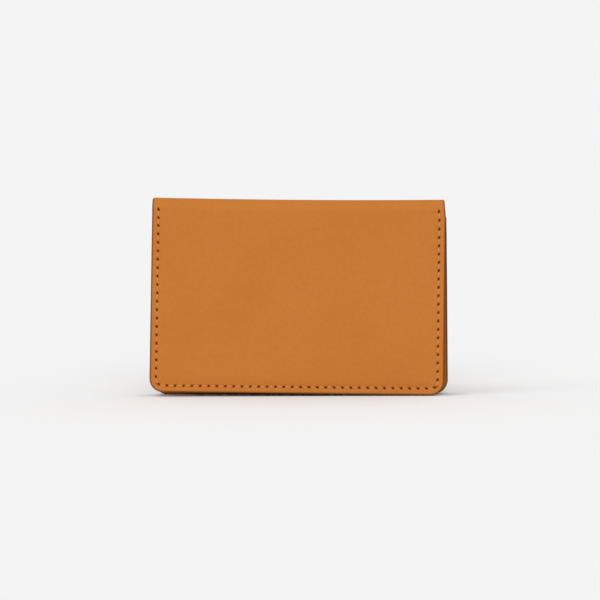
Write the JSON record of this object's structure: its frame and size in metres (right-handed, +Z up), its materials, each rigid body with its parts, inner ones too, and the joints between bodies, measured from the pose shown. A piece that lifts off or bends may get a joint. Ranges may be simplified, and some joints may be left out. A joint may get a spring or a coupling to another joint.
{
  "type": "bifold wallet",
  "caption": "Slim bifold card wallet in smooth leather, folded and standing on its open edges; a flexible spine joins two stitched halves, each with a slip pocket and a card pocket.",
  "frame": {"origin": "under the middle of the closed wallet's outline, on the surface that it stands on", "axes": "+X to the right of the front face, along the fold; +Y from the front face to the rear face; +Z up, from the open edges to the fold"},
  "size_m": [0.1059, 0.013, 0.0704],
  "materials": {
    "shell_leather": "smooth full-grain cowhide, satin, tan, with burnished dark brown edges",
    "pocket_leather": "smooth thin cowhide, satin, tan, with burnished dark brown edges",
    "seam_thread": "bonded polyester sewing thread, tone on tone"
  },
  "bodies": {
    "rear_half": {"rear_shell": "shell_leather", "rear_slip_pocket": "pocket_leather", "rear_card_pocket": "pocket_leather", "rear_needle_thread": "seam_thread", "rear_bobbin_thread": "seam_thread"},
    "spine_1": {"spine_strip_1": "shell_leather"},
    "spine_2": {"spine_strip_2": "shell_leather"},
    "front_half": {"front_shell": "shell_leather", "front_slip_pocket": "pocket_leather", "front_card_pocket": "pocket_leather", "front_needle_thread": "seam_thread", "front_bobbin_thread": "seam_thread"}
  },
  "joints": [
    {"name": "fold_1", "type": "hinge", "parent": "rear_half", "child": "spine_1", "pos_m": [0.0005, 0.00586, 0.06782], "axis": [-1, 0, 0.0075], "range_deg": [-1.33, 58.67]},
    {"name": "fold_2", "type": "hinge", "parent": "spine_1", "child": "spine_2", "pos_m": [0.00052, 0.0024, 0.06993], "axis": [-1, 0, 0.0075], "range_deg": [-1.33, 58.67]},
    {"name": "fold_3", "type": "hinge", "parent": "spine_2", "child": "front_half", "pos_m": [0.0005, -0.00119, 0.06807], "axis": [-1, 0, 0.0075], "range_deg": [-1.33, 58.67]}
  ],
  "couplings": [
    {"joint": "fold_2", "follows": "fold_1", "ratio": 1},
    {"joint": "fold_3", "follows": "fold_1", "ratio": 1}
  ]
}
